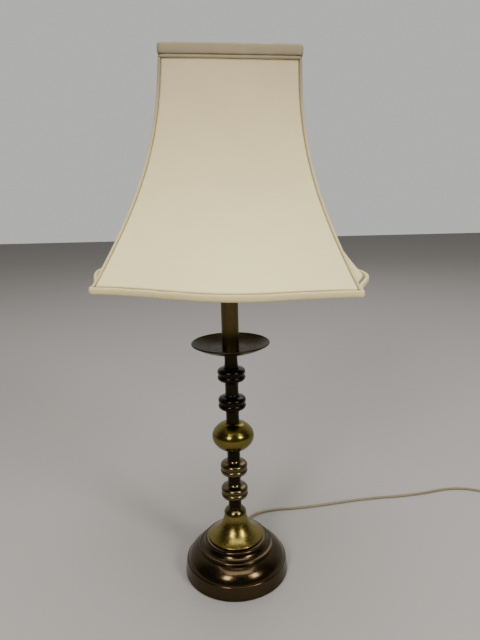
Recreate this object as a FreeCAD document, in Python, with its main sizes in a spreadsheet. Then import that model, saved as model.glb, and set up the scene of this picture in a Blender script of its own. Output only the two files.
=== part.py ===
"""Candlestick table lamp with a square bell shade: every piece is a separate solid in its own node.

Millimetres, +Z up. The origin is the middle of the foot's underside, on the surface that the lamp stands on.
The front is -Y and the cord leaves at the back. Everything above the candle sleeve is the head: the socket,
bulb, harp and shade, which lean a little to the right about the top of the sleeve.
"""
import FreeCAD, Part
import Sketcher
import math
import os
import re

V = FreeCAD.Vector

SIZES = {
    # foot
    "felt_thick": 1.5,
    "foot_radius": 72.9,
    "rim_height": 17.5,
    "dome_radius": 68.2,
    "foot_height": 50.7,
    "weight_height": 14.0,
    "lead_height": 6.5,
    "lead_turn": -10.0,
    # stem, from the foot upwards
    "bore_radius": 5.3,
    "neck_radius": 8.7,
    "knop_radius": 19.0,
    "knop_height": 23.0,
    "cone_radius": 38.3,
    "cone_height": 35.3,
    "collar_radius": 15.5,
    "collar_height": 10.5,
    "neck_six": 11.5,
    "neck_five": 12.5,
    "neck_four": 16.0,
    "ball_radius": 28.5,
    "ball_height": 40.0,
    "neck_three": 16.5,
    "neck_two": 16.5,
    "neck_one": 20.0,
    "pan_radius": 51.4,
    "pan_height": 12.8,
    "pan_sheet": 1.6,
    "sleeve_radius": 11.1,
    "sleeve_height": 79.4,
    "pipe_radius": 5.1,
    "pipe_bottom": 38.0,
    # head
    "head_lean": 2.1,
    "head_gap": 0.5,
    "ring_thick": 1.5,
    "saddle_reach": 27.0,
    "saddle_post": 2.0,
    "cap_height": 15.0,
    "socket_radius": 19.5,
    "socket_height": 40.0,
    "bulb_radius": 30.0,
    "harp_wire": 1.9,
    "harp_reach": 61.0,
    "harp_top": 246.0,
    "ferrule_bore": 2.3,
    "ferrule_radius": 3.7,
    "ferrule_height": 14.0,
    "stud_radius": 3.0,
    "finial_bore": 3.1,
    # shade, measured up from the head's foot
    "shade_low": 17.6,
    "shade_high": 270.7,
    "shade_top": 73.5,
    "shade_bottom": 140.4,
    "bow_front": 34.0,
    "bow_right": 33.0,
    "bow_back": 31.0,
    "bow_left": 24.0,
    "hem_height": 7.4,
    "trim_height": 11.2,
    "piping_height": 4.2,
    "fabric_thick": 1.2,
    "wire_size": 2.4,
    "rib_wire": 1.2,
    "corner_piping": 1.4,
    # cord
    "cord_width": 5.4,
    "relief_length": 22.0,
    "coil_x": 486.0,
    "coil_y": 172.0,
    "coil_middle": 30.0,
    "coil_width": 16.8,
    "coil_height": 8.4,
}

STACK = ["felt_thick", "foot_height", "cone_height", "collar_height", "neck_six", "knop_height", "neck_five",
         "knop_height", "neck_four", "ball_height", "neck_three", "knop_height", "neck_two", "knop_height",
         "neck_one", "pan_sheet", "sleeve_height"]

SIDES = ["front", "right", "back", "left"]


def amount(text):
    """The value of a sum such as 'knop_radius - 1.5 + 2 * bore_radius'."""
    total = 0.0
    sign = 1.0
    for piece in re.split(r" ([+-]) ", str(text)):
        if piece in ("+", "-"):
            sign = 1.0 if piece == "+" else -1.0
            continue
        product = 1.0
        for factor in piece.split(" * "):
            product *= SIZES[factor] if factor in SIZES else float(factor)
        total += sign * product
    return total


def formula(text):
    """The same sum as an expression that reads the sheet."""
    return re.sub(r"[a-z_]{3,}", lambda word: "dims." + word.group(0), str(text))


def below(count):
    """The height of the stem's stack under its piece number count, as a sum."""
    return " + ".join(STACK[:count])


def make_sheet(doc):
    sheet = doc.addObject("Spreadsheet::Sheet", "dims")
    for row, (alias, value) in enumerate(SIZES.items(), start=1):
        sheet.set("A%d" % row, alias)
        sheet.set("B%d" % row, str(value))
        sheet.setAlias("B%d" % row, alias)
    doc.recompute()
    return sheet


# ---------------------------------------------------------------------------- sketches and bodies

def origin_plane(body, role):
    return [item for item in body.Origin.OriginFeatures if item.Role == role][0]


def new_sketch(body, name, role):
    sketch = body.newObject("Sketcher::SketchObject", name)
    sketch.AttachmentSupport = [(origin_plane(body, role), "")]
    sketch.MapMode = "FlatFace"
    return sketch


def arc_between(start, end, bend):
    """Arc from start to end with radius |bend|: it turns left when bend is positive, right when negative."""
    chord = end - start
    half = chord.Length / 2
    side = V(-chord.y, chord.x, 0).normalize()
    rise = math.sqrt(bend * bend - half * half)
    centre = (start + end) * 0.5 + side * (rise if bend > 0 else -rise)
    first = math.atan2(start.y - centre.y, start.x - centre.x)
    last = math.atan2(end.y - centre.y, end.x - centre.x)
    circle = Part.Circle(centre, V(0, 0, 1), abs(bend))
    if bend > 0:
        return Part.ArcOfCircle(circle, first, last)
    return Part.ArcOfCircle(circle, last, first)


def pin_point(sketch, edge, end, across, up):
    """Tie one end of an edge to the sheet's sizes, measured from the sketch's origin."""
    for kind, axis, text in (("DistanceX", -2, across), ("DistanceY", -1, up)):
        if amount(text) == 0:
            sketch.addConstraint(Sketcher.Constraint("PointOnObject", edge, end, axis))
            continue
        index = sketch.addConstraint(Sketcher.Constraint(kind, -1, 1, edge, end, amount(text)))
        sketch.setExpression("Constraints[%d]" % index, formula(text))


def draw_outline(sketch, outline):
    """Closed outline of (across, up) corners; a third value makes the edge that arrives there an arc."""
    places = [V(amount(corner[0]), amount(corner[1]), 0) for corner in outline]
    ends = []
    for index, corner in enumerate(outline):
        start = places[index - 1]
        if len(corner) == 2:
            sketch.addGeometry(Part.LineSegment(start, places[index]), False)
            ends.append((1, 2))
            continue
        bend = float(corner[2])
        edge = sketch.addGeometry(arc_between(start, places[index], bend), False)
        sketch.addConstraint(Sketcher.Constraint("Radius", edge, abs(bend)))
        ends.append((1, 2) if bend > 0 else (2, 1))
    for index, corner in enumerate(outline):
        after = (index + 1) % len(outline)
        sketch.addConstraint(Sketcher.Constraint("Coincident", index, ends[index][1], after, ends[after][0]))
        pin_point(sketch, index, ends[index][1], corner[0], corner[1])


def draw_circle(sketch, across, up, radius):
    place = V(amount(across), amount(up), 0)
    edge = sketch.addGeometry(Part.Circle(place, V(0, 0, 1), amount(radius)), False)
    index = sketch.addConstraint(Sketcher.Constraint("Radius", edge, amount(radius)))
    sketch.setExpression("Constraints[%d]" % index, formula(radius))
    pin_point(sketch, edge, 3, across, up)


def new_body(doc, name):
    body = doc.addObject("PartDesign::Body", name)
    body.Label = name
    return body


def turned(doc, name, outline):
    """A piece turned about its own Z axis from an outline of (radius, height) corners."""
    body = new_body(doc, name)
    sketch = new_sketch(body, name + "_outline", "XZ_Plane")
    draw_outline(sketch, outline)
    turn = body.newObject("PartDesign::Revolution", name + "_turning")
    turn.Profile = sketch
    turn.ReferenceAxis = (sketch, ["V_Axis"])
    turn.Angle = 360
    return body


def add_pad(body, name, sketch, length, midplane=False, reverse=False):
    pad = body.newObject("PartDesign::Pad", name)
    pad.Profile = sketch
    pad.setExpression("Length", formula(length))
    pad.Midplane = midplane
    pad.Reversed = reverse
    return pad


def add_hole(body, name, role, across, up, radius, length, reverse):
    """Cut a round hole from one of the body's origin planes towards one side."""
    sketch = new_sketch(body, name + "_circle", role)
    draw_circle(sketch, across, up, radius)
    hole = body.newObject("PartDesign::Pocket", name)
    hole.Profile = sketch
    hole.setExpression("Length", formula(length))
    hole.Reversed = reverse
    return hole


def raise_by(body, height):
    body.setExpression("Placement.Base.z", formula(height))


def into_head(item):
    """Set a piece of the head on the top of the sleeve, leaning to the right."""
    item.setExpression("Placement.Base.z", None)
    lean = FreeCAD.Rotation(V(0, 1, 0), SIZES["head_lean"])
    item.Placement = FreeCAD.Placement(V(0, 0, head_foot()), lean).multiply(item.Placement)


def head_foot():
    return amount(below(len(STACK))) + SIZES["head_gap"]


def lead_side(item):
    """Turn a piece about the lamp's axis to the side where the cord leaves."""
    turn = FreeCAD.Rotation(V(0, 0, 1), SIZES["lead_turn"])
    item.Placement = FreeCAD.Placement(V(0, 0, 0), turn).multiply(item.Placement)


def shaped(doc, name, shape):
    item = doc.addObject("Part::Feature", name)
    item.Label = name
    item.Shape = shape
    return item


# ---------------------------------------------------------------------------- routes and tubes

def corner_arc(before, corner, after):
    """Start, middle and end of the tangent arc at one corner of a route, and its radius."""
    incoming = before - corner
    outgoing = after - corner
    shorter = min(incoming.Length, outgoing.Length)
    half_turn = (math.pi - incoming.getAngle(outgoing)) / 2
    radius = 0.45 * shorter / math.tan(half_turn)
    reach = 0.45 * shorter
    first = corner + V(incoming).normalize() * reach
    last = corner + V(outgoing).normalize() * reach
    inward = (V(incoming).normalize() + V(outgoing).normalize()).normalize()
    middle = corner + inward * (radius / math.cos(half_turn) - radius)
    return first, middle, last, radius


def route_wire(points, name=None):
    """Straight runs joined by tangent arcs."""
    edges = []
    radii = []
    here = points[0]
    for index in range(1, len(points) - 1):
        first, middle, last, radius = corner_arc(points[index - 1], points[index], points[index + 1])
        edges.append(Part.LineSegment(here, first).toShape())
        edges.append(Part.Arc(first, middle, last).toShape())
        radii.append(radius)
        here = last
    edges.append(Part.LineSegment(here, points[-1]).toShape())
    wire = Part.Wire(edges)
    if name:
        print("%s: length %.0f mm, smallest radius %.1f mm" % (name, wire.Length, min(radii)))
    return wire


def tube(wire, radius):
    start = wire.Edges[0]
    circle = Part.Circle(start.valueAt(start.FirstParameter), start.tangentAt(start.FirstParameter), radius)
    section = Part.Wire([circle.toShape()])
    solid = wire.makePipeShell([section], True, False)
    expected = math.pi * radius * radius * wire.Length
    if abs(solid.Volume / expected - 1) > 0.02:
        raise ValueError("tube volume %.1f, expected %.1f" % (solid.Volume, expected))
    return solid


# ---------------------------------------------------------------------------- foot

def make_foot(doc):
    felt = turned(doc, "base_felt", [("0", "0"), ("foot_radius - 5.6", "0"), ("foot_radius - 5.6", "felt_thick"),
                                     ("0", "felt_thick")])
    shell = turned(doc, "base_shell", [
        ("foot_radius - 5.4", "-1"),
        ("foot_radius - 0.8", "-1"),
        ("foot_radius", "-0.2", 0.9),
        ("foot_radius - 2.3", "rim_height"),
        ("foot_radius - 3.6", "rim_height + 1.3", 1.5),
        ("dome_radius + 0.4", "rim_height + 1.3"),
        ("dome_radius", "rim_height + 2.6"),
        ("52.2", "foot_height - 14.6", 27),
        ("52.6", "foot_height - 13.4"),
        ("51.0", "foot_height - 10.6", 1.9),
        ("48.8", "foot_height - 10.3"),
        ("42.6", "foot_height - 4.4", -9),
        ("42.9", "foot_height - 0.6", 2.2),
        ("41.0", "foot_height"),
        ("bore_radius", "foot_height"),
        ("bore_radius", "foot_height - 3.7"),
        ("36.0", "foot_height - 3.7"),
        ("42.0", "foot_height - 11.7"),
        ("62.5", "rim_height + 1.3"),
        ("foot_radius - 6.4", "weight_height + 1.0"),
    ])
    add_hole(shell, "lead_hole", "XZ_Plane", "0", "lead_height - felt_thick", "4.3", "foot_radius + 5", False)
    raise_by(shell, "felt_thick")
    lead_side(shell)
    weight = turned(doc, "base_weight", [("24", "0"), ("foot_radius - 7.4", "0"),
                                         ("foot_radius - 7.4", "weight_height"), ("24", "weight_height")])
    add_hole(weight, "lead_slot", "XZ_Plane", "0", "lead_height - felt_thick", "4.6", "foot_radius", False)
    raise_by(weight, "felt_thick")
    lead_side(weight)
    inside_top = "felt_thick + foot_height - 3.7"
    washer = turned(doc, "lock_washer", [("bore_radius", "0"), ("17", "0"), ("17", "1.8"), ("bore_radius", "1.8")])
    raise_by(washer, inside_top + " - 1.8")
    make_nut(doc, "lock_nut", "8.0", "5.0", inside_top + " - 6.8")
    return [felt, shell, weight, washer]


def make_nut(doc, name, half_flats, height, lift):
    """Hexagon nut on the stem's pipe."""
    body = new_body(doc, name)
    sketch = new_sketch(body, name + "_hexagon", "XY_Plane")
    corner = amount(half_flats) / math.cos(math.radians(30))
    points = []
    for index in range(6):
        angle = math.radians(60 * index)
        points.append(("%.4f" % (corner * math.cos(angle)), "%.4f" % (corner * math.sin(angle))))
    draw_outline(sketch, points)
    draw_circle(sketch, "0", "0", "bore_radius")
    add_pad(body, name + "_height", sketch, height)
    raise_by(body, lift)
    return body


# ---------------------------------------------------------------------------- stem

def make_cone(doc):
    cone = turned(doc, "base_cone", [
        ("bore_radius", "0"),
        ("cone_radius - 1.2", "0"),
        ("cone_radius", "1.3", 1.4),
        ("cone_radius - 1.0", "2.7", 1.4),
        ("15.9", "cone_height - 5.0", -42),
        ("collar_radius - 0.4", "cone_height"),
        ("bore_radius", "cone_height"),
    ])
    raise_by(cone, below(2))
    return cone


def make_collar(doc):
    collar = turned(doc, "collar", [
        ("bore_radius", "0"),
        ("collar_radius - 0.9", "0"),
        ("collar_radius", "1.1", 1.2),
        ("collar_radius", "1.7"),
        ("9.6", "collar_height - 2.0", 12),
        ("neck_radius", "collar_height"),
        ("bore_radius", "collar_height"),
    ])
    raise_by(collar, below(3))
    return collar


def make_neck(doc, name, height, place):
    """Plain spacer with a slight waist."""
    neck = turned(doc, name, [
        ("bore_radius", "0"),
        ("neck_radius + 0.5", "0"),
        ("neck_radius + 0.5", height, -90),
        ("bore_radius", height),
    ])
    raise_by(neck, below(place))
    return neck


def make_knop(doc, name, place):
    """Two round beads with a groove between them, and a cavetto above and below."""
    knop = turned(doc, name, [
        ("bore_radius", "0"),
        ("neck_radius + 0.4", "0"),
        ("knop_radius - 5.4", "2.9", -5.2),
        ("knop_radius - 3.4", "3.5"),
        ("knop_radius - 1.7", "10.6", 4.3),
        ("knop_radius - 1.7", "knop_height - 10.6"),
        ("knop_radius - 3.4", "knop_height - 3.5", 4.3),
        ("knop_radius - 5.4", "knop_height - 2.9"),
        ("neck_radius + 0.4", "knop_height", -5.2),
        ("bore_radius", "knop_height"),
    ])
    raise_by(knop, below(place))
    return knop


def make_ball(doc):
    """Flattened ball with a small fillet at each neck."""
    ball = turned(doc, "ball", [
        ("bore_radius", "0"),
        ("neck_radius + 1.9", "0"),
        ("neck_radius + 3.6", "1.3"),
        ("ball_radius - 4.0", "0.5 * ball_height - 10.4", 21.5),
        ("ball_radius - 4.0", "0.5 * ball_height + 10.4", 15.5),
        ("neck_radius + 3.6", "ball_height - 1.3", 21.5),
        ("neck_radius + 1.9", "ball_height"),
        ("bore_radius", "ball_height"),
    ])
    raise_by(ball, below(9))
    return ball


def make_pan(doc):
    """Shallow drip pan with a rolled lip."""
    pan = turned(doc, "drip_pan", [
        ("bore_radius", "0"),
        ("17", "0"),
        ("pan_radius - 1.4", "pan_height - 2.3", 68),
        ("pan_radius", "pan_height - 1.0", 1.6),
        ("pan_radius - 1.5", "pan_height", 1.3),
        ("pan_radius - 2.8", "pan_height - 1.2"),
        ("17", "pan_sheet", -66),
        ("bore_radius", "pan_sheet"),
    ])
    raise_by(pan, below(15))
    return pan


def make_stem(doc):
    make_cone(doc)
    make_collar(doc)
    necks = {"one": 14, "two": 12, "three": 10, "four": 8, "five": 6, "six": 4}
    for word, place in necks.items():
        make_neck(doc, "neck_" + word, "neck_" + word, place)
    knops = {"one": 13, "two": 11, "three": 7, "four": 5}
    for word, place in knops.items():
        make_knop(doc, "knop_" + word, place)
    make_ball(doc)
    make_pan(doc)
    sleeve = turned(doc, "candle_sleeve", [
        ("sleeve_radius - 1.4", "0"),
        ("sleeve_radius", "0"),
        ("sleeve_radius", "sleeve_height"),
        ("sleeve_radius - 1.4", "sleeve_height"),
    ])
    raise_by(sleeve, below(16))
    pipe_height = below(len(STACK)) + " - pipe_bottom - 1.5"
    pipe = turned(doc, "threaded_pipe", [
        ("pipe_radius - 1.4", "0"),
        ("pipe_radius", "0"),
        ("pipe_radius", pipe_height),
        ("pipe_radius - 1.4", pipe_height),
    ])
    raise_by(pipe, "pipe_bottom")


# ---------------------------------------------------------------------------- head: socket, switch and bulb

def make_socket(doc):
    ring = turned(doc, "check_ring", [
        ("bore_radius", "0"),
        ("sleeve_radius", "0"),
        ("sleeve_radius", "ring_thick"),
        ("bore_radius", "ring_thick"),
    ])
    nipple = turned(doc, "top_nipple", [
        ("pipe_radius - 1.4", "-0.1"),
        ("pipe_radius", "-0.1"),
        ("pipe_radius", "2 * ring_thick + 10"),
        ("pipe_radius - 1.4", "2 * ring_thick + 10"),
    ])
    cap = turned(doc, "socket_cap", [
        ("bore_radius", "0"),
        ("9", "0"),
        ("10", "1.5"),
        ("socket_radius", "cap_height - 4", 14),
        ("socket_radius", "cap_height"),
        ("socket_radius - 0.6", "cap_height"),
        ("socket_radius - 0.6", "cap_height - 3.8"),
        ("9.2", "2.2", -13.4),
        ("bore_radius", "2.0"),
    ])
    raise_by(cap, "2 * ring_thick")
    shell_foot = "2 * ring_thick + cap_height"
    shell = turned(doc, "socket_shell", [
        ("socket_radius - 0.6", "0"),
        ("socket_radius", "0"),
        ("socket_radius", "socket_height - 6"),
        ("socket_radius + 0.7", "socket_height - 5", 0.9),
        ("socket_radius", "socket_height - 4", 0.9),
        ("socket_radius", "socket_height"),
        ("socket_radius - 0.6", "socket_height"),
    ])
    add_hole(shell, "switch_hole", "XZ_Plane", "0", "8", "3", "socket_radius + 5", True)
    raise_by(shell, shell_foot)
    liner = turned(doc, "paper_liner", [
        ("socket_radius - 1.5", "0.2"),
        ("socket_radius - 0.8", "0.2"),
        ("socket_radius - 0.8", "socket_height - 1"),
        ("socket_radius - 1.5", "socket_height - 1"),
    ])
    add_hole(liner, "liner_hole", "XZ_Plane", "0", "8", "3", "socket_radius + 5", True)
    raise_by(liner, shell_foot)
    core = turned(doc, "socket_core", [
        ("0", "-3.4"),
        ("9", "-3.4"),
        ("socket_radius - 2.6", "1"),
        ("socket_radius - 2.6", "11.8"),
        ("4", "11.8"),
        ("4", "12.8"),
        ("0", "12.8"),
    ])
    raise_by(core, shell_foot)
    screw = turned(doc, "screw_shell", [
        ("4.2", "0"),
        ("14.4", "0"),
        ("14.4", "socket_height - 13.5"),
        ("13.8", "socket_height - 13.5"),
        ("13.8", "0.6"),
        ("4.2", "0.6"),
    ])
    raise_by(screw, shell_foot + " + 11.8")
    return [ring, nipple, cap, shell, liner, core, screw]


def make_saddle(doc):
    """Flat strip with a round post at each end, clamped under the socket."""
    body = new_body(doc, "harp_saddle")
    sketch = new_sketch(body, "saddle_strip", "XY_Plane")
    draw_outline(sketch, [
        ("0 - saddle_reach", "-7.5", 7.9),
        ("saddle_reach", "-7.5"),
        ("saddle_reach", "7.5", 7.9),
        ("0 - saddle_reach", "7.5"),
    ])
    draw_circle(sketch, "0", "0", "bore_radius")
    add_pad(body, "saddle_strip_pad", sketch, "ring_thick")
    posts = new_sketch(body, "saddle_posts", "XY_Plane")
    draw_circle(posts, "saddle_reach", "0", "saddle_post")
    draw_circle(posts, "0 - saddle_reach", "0", "saddle_post")
    add_pad(body, "saddle_posts_pad", posts, "13.0")
    raise_by(body, "ring_thick")
    return body


def make_switch(doc):
    """Turn switch: a shaft that comes out of the socket's front, and a winged knob on it."""
    level = amount("2 * ring_thick + cap_height + 8")
    outward = FreeCAD.Rotation(V(1, 0, 0), 90)
    shaft = turned(doc, "switch_shaft", [("0", "0"), ("2", "0"), ("2", "9"), ("0", "9")])
    shaft.Placement = FreeCAD.Placement(V(0, -amount("socket_radius - 2.2"), level), outward)
    knob = turned(doc, "switch_knob", [
        ("0", "0"),
        ("5.4", "0"),
        ("5.4", "2.6"),
        ("3.6", "3.6", -1.6),
        ("3.6", "11", 20),
        ("0", "11"),
    ])
    wings = new_sketch(knob, "knob_wings", "XZ_Plane")
    draw_outline(wings, [("-7", "4", 3.9), ("7", "4"), ("7", "11", 3.9), ("-7", "11")])
    add_pad(knob, "knob_wings_pad", wings, "2.4", midplane=True)
    knob.Placement = FreeCAD.Placement(V(0, -amount("socket_radius - 2.2") - 9.0, level), outward)
    return [shaft, knob]


def make_bulb(doc):
    foot = amount("2 * ring_thick + cap_height + 11.8")
    contact = turned(doc, "bulb_contact", [("0", "1.3"), ("4.5", "1.3"), ("4.5", "3.0"), ("0", "3.0")])
    base = turned(doc, "bulb_base", [
        ("0", "3.0"),
        ("7", "3.0"),
        ("13.2", "7"),
        ("13.2", "27"),
        ("0", "27"),
    ])
    glass = turned(doc, "bulb_glass", [
        ("12.8", "27", 60),
        ("13.6", "27"),
        ("bulb_radius - 9.9", "62.5", -60),
        ("bulb_radius - 9.9", "104.3", 27),
        ("0.8", "113.4", 24),
        ("0", "113.4"),
        ("0", "112.6"),
        ("0.8", "112.6"),
        ("bulb_radius - 10.7", "104.3", -23.4),
        ("bulb_radius - 10.7", "62.5", -26.7),
    ])
    for piece in (contact, base, glass):
        piece.Placement.Base.z = foot
    return [contact, base, glass]


# ---------------------------------------------------------------------------- head: harp and finial

def harp_route():
    """The harp's centre line, from the left foot over the top to the right foot."""
    reach = SIZES["saddle_reach"]
    wide = SIZES["harp_reach"]
    top = SIZES["harp_top"]
    left = [V(-reach, 0, 14.9), V(-reach, 0, 56), V(-wide, 0, 92), V(-wide - 2, 0, 140),
            V(-wide + 14, 0, 205), V(-24, 0, top)]
    right = [V(-point.x, 0, point.z) for point in reversed(left)]
    return left + right


def make_harp(doc):
    bow = shaped(doc, "harp_bow", tube(route_wire(harp_route()), SIZES["harp_wire"]))
    stud = turned(doc, "harp_stud", [
        ("0", "0"),
        ("7", "0"),
        ("7", "1.4"),
        ("stud_radius", "1.4"),
        ("stud_radius", "14"),
        ("0", "14"),
    ])
    stud.Placement.Base.z = amount("harp_top + harp_wire")
    pieces = [bow, stud]
    for word, side in (("left", -1), ("right", 1)):
        ferrule = turned(doc, "ferrule_" + word, [
            ("ferrule_bore", "0"),
            ("ferrule_radius", "0"),
            ("ferrule_radius", "ferrule_height"),
            ("ferrule_bore", "ferrule_height"),
        ])
        ferrule.Placement.Base = V(side * SIZES["saddle_reach"], 0, 3.4)
        pieces.append(ferrule)
    finial = turned(doc, "finial", [
        ("finial_bore", "0"),
        ("7.2", "0"),
        ("7.2", "2.0"),
        ("4.4", "5.6", -4.6),
        ("7.8", "11.4", 5.4),
        ("5.0", "20.6", 8.2),
        ("0.8", "26.5", 14),
        ("0", "26.5"),
        ("0", "12"),
        ("finial_bore", "12"),
    ])
    finial.Placement.Base.z = amount("harp_top + harp_wire + 3.6")
    return pieces + [finial]


# ---------------------------------------------------------------------------- shade

def rib_half_width(height):
    """Half the shade's width at its corners, at a height above the head's foot."""
    low = SIZES["shade_low"]
    tall = SIZES["shade_high"] - low
    top = SIZES["shade_top"]
    wide = SIZES["shade_bottom"]
    curve = Part.BezierCurve()
    curve.setPoles([V(wide, low, 0), V(wide - 0.18 * tall, low + 0.36 * tall, 0),
                    V(top, low + 0.6 * tall, 0), V(top, low + tall, 0)])
    crossing = curve.intersectCC(Part.Line(V(0, height, 0), V(1, height, 0)))
    return crossing[0].X


def side_bow(side, height):
    """How far the middle of a side stands out beyond its corners."""
    down = (SIZES["shade_high"] - height) / (SIZES["shade_high"] - SIZES["shade_low"])
    return SIZES["bow_" + side] * down ** 4.2


def side_point(share, half_width, bow, height):
    """A point of the front side; share runs from -1 at the left corner to 1 at the right."""
    out = half_width + bow * (0.5 + 0.5 * math.cos(math.pi * share))
    return V(share * half_width, -out, height)


def shade_outline(half_width, bowed, height):
    """The shade's plan at its straight top, or at its bowed bottom."""
    edges = []
    for quarter, side in enumerate(SIDES):
        turn = FreeCAD.Rotation(V(0, 0, 1), 90 * quarter)
        bow = SIZES["bow_" + side] if bowed else 0
        points = [turn.multVec(side_point(step / 8.0, half_width, bow, height)) for step in range(-8, 9)]
        if not bowed:
            edges.append(Part.LineSegment(points[0], points[-1]).toShape())
            continue
        curve = Part.BSplineCurve()
        curve.interpolate(points)
        edges.append(curve.toShape())
    return Part.Wire(edges)


def band(outer, inner, bowed, low, high):
    """Upright ring that follows the shade's plan, between two half widths and two heights."""
    outside = Part.Face(shade_outline(outer, bowed, low)).extrude(V(0, 0, high - low))
    inside = Part.Face(shade_outline(inner, bowed, low - 1)).extrude(V(0, 0, high - low + 2))
    return outside.cut(inside)


def panel_solid(side, low, high):
    """One side's panel, at the front: a sheet stretched from a bowed lower edge to a straight upper one."""
    gap = SIZES["corner_piping"] + 0.6
    faces = []
    for inset in (0.0, SIZES["fabric_thick"]):
        rows = []
        for level in range(13):
            height = low + (high - low) * level / 12.0
            half = rib_half_width(height)
            reach = 1 - gap / half
            rows.append([side_point(reach * step / 8.0, half, side_bow(side, height), height) + V(0, inset, 0)
                         for step in range(-8, 9)])
        sheet = Part.BSplineSurface()
        sheet.interpolate(rows)
        faces.append(sheet.toShape())
    walls = []
    for edge in faces[0].Edges:
        middle = edge.CenterOfMass
        partner = min(faces[1].Edges, key=lambda other: other.CenterOfMass.distanceToPoint(middle))
        walls.append(Part.makeRuledSurface(edge, partner))
    shell = Part.makeShell([faces[0], faces[1]] + walls)
    shell.sewShape()
    solid = Part.makeSolid(shell)
    if solid.Volume < 0:
        solid.reverse()
    return solid


def corner_tube(inset, radius, low, high):
    """Round cord or wire that follows one corner of the shade."""
    points = []
    for step in range(7):
        height = low + (high - low) * step / 6.0
        half = rib_half_width(height) - inset
        points.append(V(half, -half, height))
    curve = Part.BSplineCurve()
    curve.interpolate(points)
    path = Part.Wire([curve.toShape()])
    return tube(path, radius)


def spider_arm():
    level = amount("harp_top + harp_wire + 2.5")
    ring_level = SIZES["shade_high"] - 0.5 * SIZES["trim_height"]
    half = SIZES["shade_top"]
    points = [V(10, 0, level), V(half - 18, 0, level), V(half - 7, 0, ring_level), V(half - 0.4, 0, ring_level)]
    return tube(route_wire(points), SIZES["rib_wire"])


def make_shade(doc):
    low = SIZES["shade_low"]
    high = SIZES["shade_high"]
    half = SIZES["shade_top"]
    wide = SIZES["shade_bottom"]
    wire = SIZES["wire_size"]
    panel_low = low + SIZES["hem_height"] + 0.2
    panel_high = high - SIZES["trim_height"] - SIZES["piping_height"] - 0.2
    ring_mid = high - 0.5 * SIZES["trim_height"]
    top_ring = band(half + 0.8, half + 0.8 - wire, False, ring_mid - wire / 2, ring_mid + wire / 2)
    bottom_ring = band(wide - 0.6, wide - 0.6 - wire, True, low + 2.4, low + 2.4 + wire)
    quarter_turns = [FreeCAD.Rotation(V(0, 0, 1), 90 * quarter) for quarter in range(4)]
    rib = corner_tube(2.8, SIZES["rib_wire"], low + 2.4 + wire, ring_mid - wire / 2)
    arm = spider_arm()
    ribs = turned_copies(rib, quarter_turns)
    arms = turned_copies(arm, quarter_turns)
    inner_parts = [top_ring, bottom_ring] + ribs + arms
    level = amount("harp_top + harp_wire + 1.7")
    washer = Part.makeCylinder(12.7, 1.6, V(0, 0, level)).cut(Part.makeCylinder(3.5, 1.6, V(0, 0, level)))
    spider = washer.fuse([arm.cut(top_ring) for arm in arms])
    trim = band(half + 2.8, half - 2.0, False, high - SIZES["trim_height"], high)
    piping = band(half + 1.7, half - 1.6, False, high - SIZES["trim_height"] - SIZES["piping_height"],
                  high - SIZES["trim_height"])
    hem = band(wide + 0.8, wide - 3.8, True, low, low + SIZES["hem_height"])
    pieces = [
        shaped(doc, "shade_top_ring", top_ring),
        shaped(doc, "shade_bottom_ring", bottom_ring),
        shaped(doc, "shade_ribs", Part.makeCompound(ribs)),
        shaped(doc, "shade_spider", spider),
        shaped(doc, "top_trim", trim.cut(inner_parts)),
        shaped(doc, "top_piping", piping.cut(ribs)),
        shaped(doc, "bottom_hem", hem.cut(inner_parts)),
    ]
    corner = corner_tube(0.2, SIZES["corner_piping"], panel_low, panel_high)
    corners = ["front_right", "back_right", "back_left", "front_left"]
    for index, turn in enumerate(quarter_turns):
        panel = panel_solid(SIDES[index], panel_low, panel_high)
        pieces.append(shaped(doc, "panel_" + SIDES[index], turned_copies(panel, [turn])[0]))
        pieces.append(shaped(doc, "seam_" + corners[index], turned_copies(corner, [turn])[0]))
    return pieces


def turned_copies(shape, turns):
    copies = []
    for turn in turns:
        copy = shape.copy()
        copy.rotate(V(0, 0, 0), V(0, 0, 1), math.degrees(turn.Angle) * turn.Axis.z)
        copies.append(copy)
    return copies


# ---------------------------------------------------------------------------- cord

def lead_direction():
    return FreeCAD.Rotation(V(0, 0, 1), SIZES["lead_turn"]).multVec(V(0, 1, 0))


def make_strain_relief(doc):
    """Tapered sleeve moulded on the cord, seated in the hole at the back of the foot."""
    end = "relief_length + 8.0"
    relief = turned(doc, "strain_relief", [
        ("0", "0"),
        ("4.8", "0"),
        ("4.8", "1.0"),
        ("4.2", "1.0"),
        ("4.2", "7.3"),
        ("4.8", "7.3"),
        ("4.8", "8.9"),
        ("3.6", end),
        ("0", end),
    ])
    reach = amount("foot_radius - 7.0")
    relief.Placement = FreeCAD.Placement(V(0, reach, SIZES["lead_height"]), FreeCAD.Rotation(V(1, 0, 0), -90))
    lead_side(relief)


def make_inner_cord(doc):
    """From the strain relief, through the weight's slot, up the pipe to the socket."""
    level = SIZES["lead_height"]
    top = head_foot() - 3.0
    points = [V(0, amount("foot_radius - 7.0"), level), V(0, 44, level), V(0, 25.5, level + 0.8),
              V(0, 8, level + 11), V(0, 0, level + 29), V(0, 0, level + 60)]
    wire = route_wire(points, "inner_cord bend")
    riser = Part.LineSegment(points[-1], V(0, 0, top)).toShape()
    cord = shaped(doc, "inner_cord", tube(Part.Wire(wire.Edges + [riser]), 2.2))
    lead_side(cord)


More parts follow.
